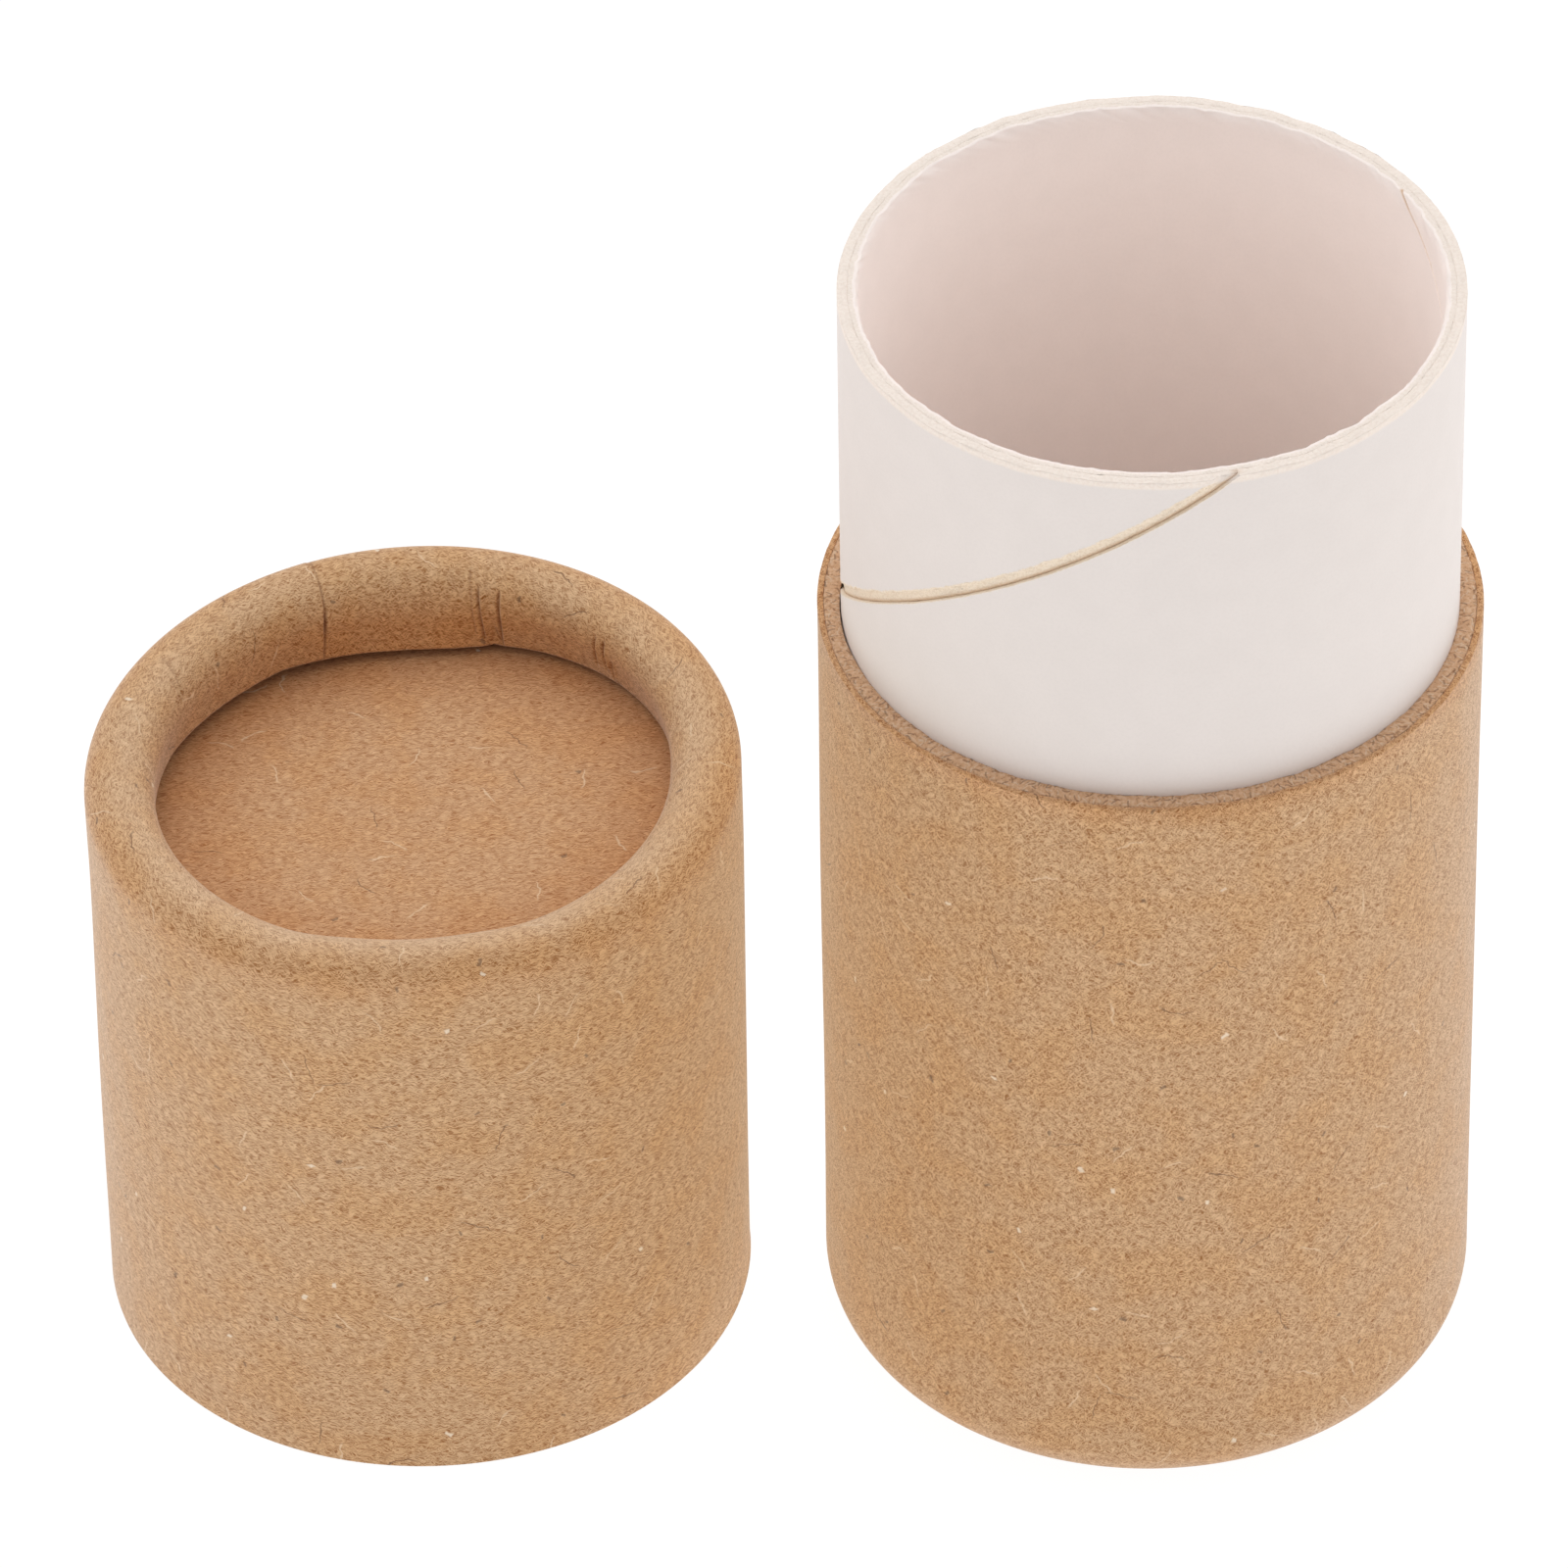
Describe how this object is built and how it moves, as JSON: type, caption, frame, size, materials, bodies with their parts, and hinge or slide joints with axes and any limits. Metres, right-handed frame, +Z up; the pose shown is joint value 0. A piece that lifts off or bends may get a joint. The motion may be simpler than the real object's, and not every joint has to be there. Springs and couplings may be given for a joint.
{
  "type": "cylindrical gift tube box",
  "caption": "Round paper gift box: a curled kraft base tube with a white spiral-wound neck, and a matching curled lid that lifts off and stands beside it.",
  "frame": {"origin": "on the base tube's axis, at the floor that its curled rim stands on", "axes": "+Z up along the tube's axis and out of its mouth; the lid stands on the -X side; the side seen in the picture faces -Y"},
  "size_m": [0.0954, 0.0492, 0.0885],
  "materials": {
    "kraft_facing": "matt brown kraft paper with visible fibres",
    "kraft_board": "grey-brown recycled board, fuzzy where it is cut",
    "kraft_disc": "matt brown kraft board with visible fibres",
    "white_ply": "smooth white-faced board with cream cut edges"
  },
  "bodies": {
    "base": {"base_wrap": "kraft_facing", "base_core": "kraft_board", "base_disc": "kraft_disc", "neck_inner_ply": "white_ply", "neck_outer_ply": "white_ply"},
    "lid": {"lid_wrap": "kraft_facing", "lid_core": "kraft_board", "lid_disc": "kraft_disc"}
  },
  "joints": [
    {"name": "lid_lift", "type": "slide", "parent": "base", "child": "lid", "axis": [0, 0, 1], "range_m": [0, 0.092]}
  ]
}
